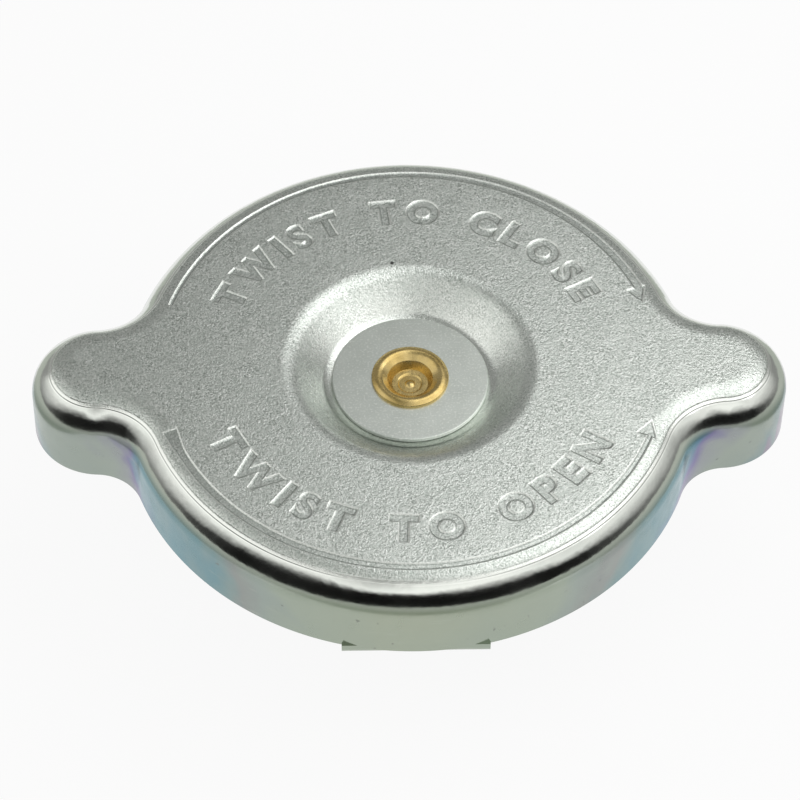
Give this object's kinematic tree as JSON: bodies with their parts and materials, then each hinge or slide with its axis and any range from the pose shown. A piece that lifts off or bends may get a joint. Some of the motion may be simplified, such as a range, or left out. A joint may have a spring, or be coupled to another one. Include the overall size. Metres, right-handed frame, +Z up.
{
  "type": "radiator cap",
  "caption": "Pressed steel radiator cap with two ears, a riveted dished middle and folded cam lugs, over a sprung pressure valve with a rubber seal and a small vacuum valve.",
  "frame": {"origin": "centre of the rubber seal's lower face, on which the cap stands", "axes": "+Z up through the rivet, X through the two ears, Y through the two cam lugs"},
  "size_m": [0.0802, 0.061, 0.0267],
  "materials": {
    "zinc_shell": "bright zinc plate, satin top",
    "zinc_washer": "matt zinc plate",
    "zinc_inner": "zinc plate",
    "spring_steel": "plain spring steel",
    "brass": "turned and rolled brass",
    "seal_rubber": "moulded nitrile rubber"
  },
  "bodies": {
    "core": {"crown_washer": "zinc_washer", "rivet": "brass", "diaphragm": "spring_steel", "spring_seat": "zinc_inner", "bell": "zinc_inner", "pressure_spring": "spring_steel"},
    "shell": {"shell": "zinc_shell"},
    "pressure_valve": {"guide_cup": "zinc_inner", "valve_plate": "zinc_inner", "valve_seal": "seal_rubber", "seal_retainer": "brass", "vacuum_spring": "spring_steel"},
    "vacuum_poppet": {"vacuum_valve": "brass", "vacuum_clip": "spring_steel"}
  },
  "joints": [
    {"name": "shell_turn", "type": "hinge", "parent": "core", "child": "shell", "pos_m": [0, 0, 0.0235], "axis": [0, 0, 1], "continuous": true},
    {"name": "valve_lift", "type": "slide", "parent": "core", "child": "pressure_valve", "axis": [0, 0, 1], "range_m": [0, 0.0045], "stiffness_N_per_m": 1150, "springref_m": -0.0148, "deforming": ["pressure_spring"]},
    {"name": "vacuum_drop", "type": "slide", "parent": "pressure_valve", "child": "vacuum_poppet", "axis": [0, 0, -1], "range_m": [0, 0.0012], "stiffness_N_per_m": 80, "springref_m": -0.003, "deforming": ["vacuum_spring"]}
  ]
}
